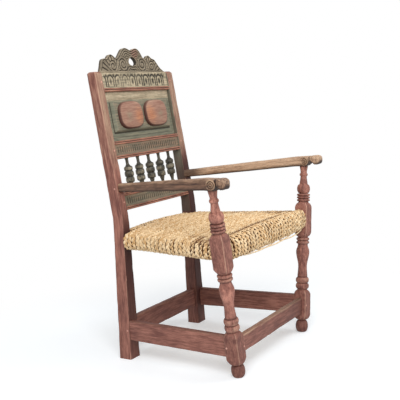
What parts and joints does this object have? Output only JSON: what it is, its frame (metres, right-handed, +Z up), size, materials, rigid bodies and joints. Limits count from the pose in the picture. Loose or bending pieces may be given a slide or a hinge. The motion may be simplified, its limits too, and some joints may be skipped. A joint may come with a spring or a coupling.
{
  "type": "armchair",
  "caption": "Open wooden armchair with splayed turned front legs, a raked panelled back under a carved pierced crest, and a wound rope seat, for one person to sit on.",
  "frame": {"origin": "middle of the chair's box, on the floor", "axes": "+Z up, -Y to the front, +X to the sitter's left"},
  "size_m": [0.7598, 0.6078, 1.1092],
  "materials": {
    "frame_paint": "old red-brown paint, worn to the wood on the edges",
    "arm_wood": "red-brown paint rubbed back to bare grey-brown wood",
    "back_paint": "grey-green paint with red-brown mouldings, worn",
    "crest_wood": "carved wood with traces of grey paint and dark recesses",
    "boss_paint": "red and orange paint, worn",
    "spindle_paint": "dark paint, rubbed pale on the beads",
    "rope": "plaited straw rope, dry and matt",
    "bare_wood": "unpainted wood"
  },
  "bodies": {
    "root": {"rear_post_right": "frame_paint", "rear_post_left": "frame_paint", "front_leg_right": "frame_paint", "front_leg_left": "frame_paint", "front_stretcher": "frame_paint", "rear_stretcher": "frame_paint", "side_stretcher_right": "frame_paint", "side_stretcher_left": "frame_paint", "armrest_right": "arm_wood", "armrest_left": "arm_wood", "top_rail": "back_paint", "middle_rail": "back_paint", "lower_rail": "back_paint", "back_panel": "back_paint", "crest": "crest_wood", "boss_right": "boss_paint", "boss_left": "boss_paint", "spindle_1": "spindle_paint", "spindle_2": "spindle_paint", "spindle_3": "spindle_paint", "spindle_4": "spindle_paint", "spindle_5": "spindle_paint", "seat_web": "rope", "front_winding": "rope", "rear_winding": "rope", "seat_rail_front": "bare_wood", "seat_rail_rear": "bare_wood", "seat_rail_right": "bare_wood", "seat_rail_left": "bare_wood", "crest_dowel_right": "bare_wood", "crest_dowel_left": "bare_wood", "arm_peg_right": "frame_paint", "arm_peg_left": "frame_paint", "stretcher_peg_right_rear": "frame_paint", "stretcher_peg_right_front": "frame_paint", "stretcher_peg_left_rear": "frame_paint", "stretcher_peg_left_front": "frame_paint", "rear_stretcher_peg_right": "frame_paint", "rear_stretcher_peg_left": "frame_paint", "front_stretcher_peg_right": "frame_paint", "front_stretcher_peg_left": "frame_paint", "top_rail_peg_right": "frame_paint", "top_rail_peg_left": "frame_paint", "middle_rail_peg_right": "frame_paint", "middle_rail_peg_left": "frame_paint", "lower_rail_peg_right": "frame_paint", "lower_rail_peg_left": "frame_paint"}
  },
  "joints": []
}
